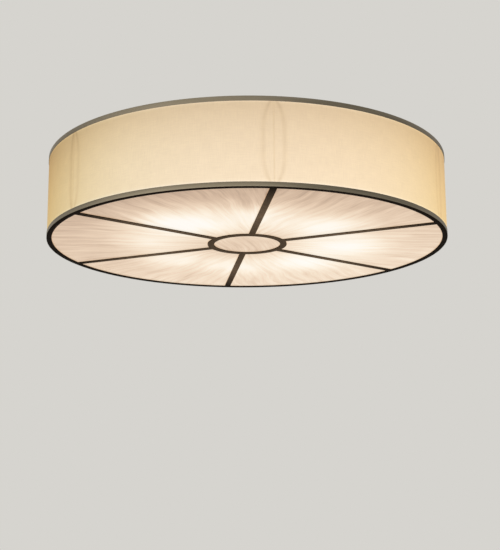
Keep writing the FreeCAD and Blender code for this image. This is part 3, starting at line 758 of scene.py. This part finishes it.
def lens_light(points):
    """Light on the acrylic: the lamps' on a level sheet, and what the cloth throws back at its rim.

    The lamps count as lower than they are, because the sheet scatters light mostly forwards. The
    whole is painted brighter towards one side of the drum and dimmer towards the other, a painted
    glare.
    """
    down = np.zeros_like(points)
    down[:, 2] = -1.0
    flat = points.copy()
    flat[:, 2] = points[:, 2].max()
    direct = lamp_light(flat, down, glow().lamps, sizes().lamp_drop).sum(axis=0)
    out = np.linalg.norm(points[:, :2], axis=1) / DRUM_RADIUS
    total = glow().lens_level * direct + glow().lens_base + glow().lens_bounce * out ** 2
    # painted glare: the glow grows towards one side of the drum and falls towards the other
    toward = points[:, :2] @ unit(glow().lens_glare_side) / DRUM_RADIUS
    return total * (1 + glow().lens_painted_glare * out * toward)


class DRUM_OT_diffuser(bpy.types.Operator):
    """Six wedge panels and a disc of streaked acrylic, lying on the frame."""

    bl_idname = "drum.diffuser"
    bl_label = "Diffuser panels"

    def execute(self, context):
        acrylic = streaked_acrylic()
        for k in range(SIDES):
            piece = self.wedge(k)
            body = f"diffuser_panel_{k + 1}"
            finish_piece(piece, acrylic, body, body)
        piece = self.disc()
        finish_piece(piece, acrylic, "diffuser_disc", "diffuser_disc")
        return {"FINISHED"}

    def wedge(self, k, rows=96, columns=56):
        """A panel between two spokes, with a straight end at the hub and an arc at the rim.

        Column j is a share of the way across, from 1 to -1, and row i a share of the way from a
        point on the straight end to the point on the arc with the same share. The sides lie one
        gap from the spokes' centre lines. UV runs along the panel's middle line, and half fans
        out with the angle, as the streaks do. A shift for each panel gives it its own streaks.
        """
        half = np.pi / SIDES
        gap, start, end = sizes().panel_gap, sizes().panel_start, sizes().panel_rim_radius
        across = np.sin(np.linspace(np.pi / 2, -np.pi / 2, columns))[None, :]
        way = np.linspace(0, 1, rows)[:, None]
        turn = across * (half - np.arcsin(gap / end))
        side = (1 - way) * across * (start * np.tan(half) - gap / np.cos(half))
        side = side + way * end * np.sin(turn)
        along = (1 - way) * start + way * end * np.cos(turn)
        fanned = 0.5 * side + 0.5 * sizes().fan_radius * np.arctan2(side, along)
        uv = np.stack([along + 1.7 * k, fanned + 0.9 * k], axis=-1)
        middle = (2 * k + 1) * half
        flat = along[..., None] * unit(middle) + side[..., None] * unit(middle + np.pi / 2)
        low, high = span(f"diffuser_panel_{k + 1}")
        piece = self.sheet(f"acrylic_panel_{k + 1}", flat, low, high, uv)
        points = places(piece)
        distance = np.linalg.norm(points[:, :2], axis=1)
        angle = np.arctan2(points[:, 0], -points[:, 1]) - middle
        angle = (angle + np.pi) % (2 * np.pi) - np.pi
        to_spoke = distance * np.sin(half - np.abs(angle)) - SPOKE_HALF
        to_ring = np.minimum(distance - HUB_OUTER, RIM_INNER - distance)
        paint(piece, "edge_gap", np.minimum(to_spoke, to_ring))
        paint(piece, "lamplight", lens_light(points))
        return piece

    def disc(self, count=60):
        """The round panel over the hub: a square grid carried to a disc.

        Row i has a share t and column j a share s, from -1 to 1. Their point is
        x = R s sqrt(1 - t^2 / 2) and y = R t sqrt(1 - s^2 / 2), which takes the square's border to
        the circle of radius R. The streaks lie aslant, 27 degrees from the first spoke's line.
        """
        steps = np.linspace(-1, 1, count)
        t, s = np.meshgrid(steps, steps, indexing="ij")
        x = DISC_RADIUS * s * np.sqrt(1 - t ** 2 / 2)
        y = DISC_RADIUS * t * np.sqrt(1 - s ** 2 / 2)
        slant = math.radians(27)
        uv = np.stack([x * math.sin(slant) + y * math.cos(slant) + 11.3,
                       x * math.cos(slant) - y * math.sin(slant) + 6.1], axis=-1)
        low, high = span("diffuser_disc")
        piece = self.sheet("acrylic_disc", np.stack([x, y], axis=-1), low, high, uv)
        points = places(piece)
        paint(piece, "edge_gap", sizes().hub_opening - np.linalg.norm(points[:, :2], axis=1))
        paint(piece, "lamplight", lens_light(points))
        return piece

    def sheet(self, name, flat, low, high, uv):
        """A level sheet of acrylic between two heights, its lower face in front."""
        height = np.ones((*flat.shape[:2], 1))
        front = np.concatenate([flat, low * height], axis=2)
        back = np.concatenate([flat, high * height], axis=2)
        return closed_sheet(name, front, back, uv)


def cloth_light(points, facing, k):
    """Colour of the cloth's glow.

    The lamps' light and what the panels throw back up are seen through the cloth. The rods'
    shadows and the tape behind the seams take their share away, and the bare edge beside each band
    adds a little. The shadows have their own count of the lamps, in which the near ones weigh more
    and the two straight behind a rod little. The glow's tint has a painted paling: paler in front
    and behind, more golden at the drum's two sides, and most golden at the right side.
    """
    step = 2 * np.pi / SIDES
    rods = [rod_line(k * step), rod_line((k + 1) * step)]
    direct = glow().cloth_level * lamp_light(points, facing, glow().cloth_lamps).sum(axis=0)
    low, high = span("shade_panel_1")
    bounce = glow().cloth_bounce * (high - points[:, 2]) / (high - low)
    count = lamp_light(points, facing, glow().rod_lamps) ** glow().rod_focus
    clear = np.array([np.prod([1 - rod_shadow(points, lamp, rod) for rod in rods], axis=0)
                      for lamp in LAMP_CENTRES])
    shaded = ((count * clear).sum(axis=0) / count.sum(axis=0)) ** glow().rod_depth
    angle = np.arctan2(points[:, 0], -points[:, 1]) % step
    to_seam = np.minimum(angle, step - angle) * CLOTH_OUTER
    taped = 1 - glow().seam_depth * np.exp(-0.5 * (to_seam / sizes().seam_reach) ** 2)
    to_band = np.minimum(points[:, 2] - span("bottom_band")[1], span("top_band")[0] - points[:, 2])
    edge = 1 + glow().band_edge * np.exp(-np.clip(to_band, 0, None) / sizes().band_glow)
    # painted paling of the glow by side: paler in front and behind, more golden at the sides and the
    # right
    thin = 1 - glow().cloth_painted_side_gold * np.abs(facing[:, 1])
    thin = thin + glow().cloth_painted_right_gold * np.clip(facing[:, 0], 0, None) ** 4
    light = (direct + bounce) * shaded * taped * edge
    return exposed(light, np.array(CLOTH_TINT) ** thin[:, None], CLOTH_MOST)


class DRUM_OT_cloth(bpy.types.Operator):
    """Six cloth panels from rod to rod, with the tape behind their seams."""

    bl_idname = "drum.cloth"
    bl_label = "Cloth panels"

    def execute(self, context):
        linen = lit_linen()
        for k in range(SIDES):
            piece = self.panel(k)
            finish_piece(piece, linen, f"shade_panel_{k + 1}", "drum")
        dress(["seam_tapes"], seam_paper())
        return {"FINISHED"}

    def panel(self, k, rows=190, columns=64):
        """Cloth bent to the drum.

        Row i is an angle and column j a height. Both stand closer near their ends, where the rods
        throw their shadows and the bands begin: a share s of the way goes to s - 0.1 sin(2 pi s).
        """
        step = 2 * np.pi / SIDES
        half_gap = sizes().seam_gap / 2 / CLOTH_OUTER
        way, rise = np.linspace(0, 1, rows), np.linspace(0, 1, columns)
        way = way - 0.1 * np.sin(2 * np.pi * way)
        rise = rise - 0.1 * np.sin(2 * np.pi * rise)
        turn = (k * step + half_gap + way * (step - 2 * half_gap))[:, None]
        low, high = span(f"shade_panel_{k + 1}")
        height = np.broadcast_to((low + rise * (high - low))[None, :], (rows, columns))
        outward = np.broadcast_to(unit(turn), (rows, columns, 2))
        front = np.concatenate([outward * CLOTH_OUTER, height[..., None]], axis=2)
        inner = CLOTH_OUTER - sizes().cloth_thickness
        back = np.concatenate([outward * inner, height[..., None]], axis=2)
        arc = np.broadcast_to(turn * CLOTH_OUTER, (rows, columns))
        piece = closed_sheet(f"cloth_panel_{k + 1}", front, back, np.stack([arc, height], axis=-1))
        points = places(piece)
        facing = np.concatenate([points[:, :2], np.zeros((len(points), 1))], axis=1)
        facing /= np.linalg.norm(facing, axis=1)[:, None]
        paint(piece, "lamplight", cloth_light(points, facing, k))
        return piece


class DRUM_OT_rods(bpy.types.Operator):
    """Bowed rods inside the cloth."""

    bl_idname = "drum.rods"
    bl_label = "Bowed rods"

    def execute(self, context):
        dress([f"bowed_rod_{k}" for k in range(1, SIDES + 1)], rod_paint())
        return {"FINISHED"}


class DRUM_OT_top(bpy.types.Operator):
    """Ceiling plate, hub dish, arms, top ring, reflector and lamp ring."""

    bl_idname = "drum.top"
    bl_label = "Top of the drum"

    def execute(self, context):
        coat = powder_coat()
        outline = eased_outline(RING_INNER, RING_INNER + sizes().ring_bar, *span("top_inner_ring"))
        finish_piece(turned_ring("top_inner_ring_bar", outline), coat, "top_inner_ring", "drum")
        dress(["hub_dish", "top_arms", "reflector_plate", "lamp_ring"], coat)
        dress(["ceiling_plate", "hanging_studs", "ring_screws", "lampholder_screws"], zinc_plate())
        dress(["cap_nuts"], bronze_nut())
        return {"FINISHED"}


class DRUM_OT_lamps(bpy.types.Operator):
    """Lampholders, their shells and the lamps."""

    bl_idname = "drum.lamps"
    bl_label = "Lamps"

    def execute(self, context):
        dress(["lampholders"], glazed_porcelain())
        dress(["screw_shells"], spun_brass())
        dress([f"lamp_{k}" for k in range(1, LAMPS + 1)], opal_lamp())
        return {"FINISHED"}


class DRUM_OT_wiring(bpy.types.Operator):
    """Leads, bushings, block, connectors and earth screw."""

    bl_idname = "drum.wiring"
    bl_label = "Wiring"

    def execute(self, context):
        dress(["lamp_leads", "supply_leads"], woven_sleeve())
        dress(["lead_bushings"], black_nylon())
        dress(["distribution_block"], moulded_block())
        dress(["wire_connectors"], twist_connector())
        dress(["earth_screw"], green_plate())
        return {"FINISHED"}


# ---- Stage

CAMERA_TURN = 0.11866          # radians round the drum from the first spoke
CAMERA_BACK = 3.7138           # metres from the axis
CAMERA_BELOW = 0.9536          # metres below the bottom face
CAMERA_PITCH = 0.22709         # radians up from the level
CAMERA_YAW = 0.00223
CAMERA_ROLL = -0.00581
CAMERA_FOCUS = 1246.7          # focal length in pixels of the 500 x 550 photograph
PHOTO_HEIGHT = 550
SENSOR = 36.0                  # millimetres along the picture's long side
DRUM_MIDDLE = Vector((0, 0, -0.13))
BACKDROP = "#D6D4CF"


class DRUM_OT_stage(bpy.types.Operator):
    """Floor, soft studio light, pale surroundings and the camera."""

    bl_idname = "drum.stage"
    bl_label = "Stage"

    def execute(self, context):
        self.floor()
        self.surroundings()
        for name, place, side, watts in (("key_light", (0.7, -4.35, -1.3), 3.0, 150),
                                         ("back_light", (-0.7, 4.4, -1.2), 3.0, 50),
                                         ("side_light", (4.3, -1.1, -0.9), 2.5, 25),
                                         ("top_light", (0.6, 1.8, 3.4), 3.4, 90)):
            self.lamp(name, place, side, watts).visible_glossy = False
        self.lamp("band_light", (-2.2, -2.9, -1.3), 9.0, 340).visible_diffuse = False
        self.camera()
        context.scene.view_settings.view_transform = "Standard"
        return {"FINISHED"}

    def floor(self):
        """A pale floor, low enough to leave the view from below free."""
        half, depth = 16.0, -5.5
        mesh = bpy.data.meshes.new("floor")
        mesh.from_pydata([(-half, -half, depth), (half, -half, depth), (half, half, depth),
                          (-half, half, depth)], [], [(0, 1, 2, 3)])
        material, shader = new_material("pale_floor", Roughness=0.9, Specular_IOR_Level=0.1,
                                        Emission_Color=opaque(BACKDROP))
        cloud = pattern(material, coordinates(material, "Object"), (0.9, 0.9, 0.9))
        link(shader, Base_Color=mixed(material, ranged(material, cloud, 0, 1), "#D8D6D1", "#D2CFCA"),
             Emission_Strength=maths(material, "MULTIPLY", self.seen(material), 0.6))
        mesh.materials.append(material)
        floor = into_scene("floor", mesh)

    def surroundings(self):
        """Even light from all sides, and a pale backdrop for the camera, metal and glass."""
        world = bpy.data.worlds.new("studio")
        world.use_nodes = True
        bpy.context.scene.world = world
        world.node_tree.nodes.clear()
        light, backdrop = [add(world, "ShaderNodeBackground", {"Color": opaque(code),
                                                               "Strength": strength}).outputs[0]
                           for code, strength in (("#F4F2EE", 0.28), (BACKDROP, 1.0))]
        both = add(world, "ShaderNodeMixShader", {0: self.seen(world), 1: light, 2: backdrop})
        add(world, "ShaderNodeOutputWorld", {"Surface": both.outputs[0]})

    def seen(self, material):
        """1 for what the camera, metal or glass sees, and 0 for what lights the object."""
        ray = add(material, "ShaderNodeLightPath").outputs
        either = maths(material, "MAXIMUM", ray["Is Camera Ray"], ray["Is Glossy Ray"])
        return maths(material, "MAXIMUM", either, ray["Is Transmission Ray"])

    def lamp(self, name, place, side, watts):
        """A soft square light that faces the drum and isn't seen itself."""
        data = bpy.data.lights.new(name, "AREA")
        data.size = side
        data.energy = watts
        data.color = linear("#FFFBF5")
        lamp = into_scene(name, data)
        lamp.location = place
        lamp.visible_camera = False
        aim = DRUM_MIDDLE - Vector(place)
        lamp.rotation_euler = aim.to_track_quat("-Z", "Y").to_euler()
        return lamp

    def camera(self):
        """The photograph's view, from below and in front."""
        level = np.array([math.cos(CAMERA_YAW), -math.sin(CAMERA_YAW), 0.0])
        ahead = np.array([math.sin(CAMERA_YAW) * math.cos(CAMERA_PITCH),
                          math.cos(CAMERA_YAW) * math.cos(CAMERA_PITCH), math.sin(CAMERA_PITCH)])
        above = np.cross(level, ahead)
        right = level * math.cos(CAMERA_ROLL) + above * math.sin(CAMERA_ROLL)
        up = -level * math.sin(CAMERA_ROLL) + above * math.cos(CAMERA_ROLL)
        spot = np.array([0.0, -CAMERA_BACK, span("bottom_band")[0] - CAMERA_BELOW])
        basis = np.stack([right, up, -ahead, spot], axis=1)
        matrix = Matrix([*map(tuple, basis), (0, 0, 0, 1)])
        data = bpy.data.cameras.new("camera")
        data.sensor_width = SENSOR
        data.lens = CAMERA_FOCUS * SENSOR / PHOTO_HEIGHT
        camera = into_scene("camera", data)
        camera.matrix_world = Matrix.Rotation(-CAMERA_TURN, 4, "Z") @ matrix
        bpy.context.scene.camera = camera


# ---- Panel and registration

OPERATORS = (DRUM_OT_stage, DRUM_OT_bands, DRUM_OT_wheel, DRUM_OT_diffuser, DRUM_OT_cloth,
             DRUM_OT_rods, DRUM_OT_top, DRUM_OT_lamps, DRUM_OT_wiring)
GROUPS = {"drum_sizes": DrumSizes, "drum_colours": DrumColours, "drum_glow": DrumGlow}


class DRUM_PT_panel(bpy.types.Panel):
    """Lists the operators and the values that they read."""

    bl_idname = "DRUM_PT_panel"
    bl_label = "Ceiling Light"
    bl_space_type = "VIEW_3D"
    bl_region_type = "UI"
    bl_category = "Ceiling Light"

    def draw(self, context):
        for operator in OPERATORS:
            self.layout.operator(operator.bl_idname)
        for name in GROUPS:
            box = self.layout.box()
            group = getattr(context.scene, name)
            for key in group.bl_rna.properties.keys():
                if key not in ("rna_type", "name"):
                    box.prop(group, key)


def register():
    for group in GROUPS.values():
        bpy.utils.register_class(group)
    for name, group in GROUPS.items():
        setattr(bpy.types.Scene, name, bpy.props.PointerProperty(type=group))
    for made in (*OPERATORS, DRUM_PT_panel):
        bpy.utils.register_class(made)


def unregister():
    for made in reversed((*OPERATORS, DRUM_PT_panel)):
        bpy.utils.unregister_class(made)
    for name, group in GROUPS.items():
        delattr(bpy.types.Scene, name)
        bpy.utils.unregister_class(group)


def main():
    """Makes every piece in order."""
    register()
    for operator in OPERATORS:
        name = operator.bl_idname.split(".")[1]
        getattr(bpy.ops.drum, name)()


if __name__ == "__main__":
    main()
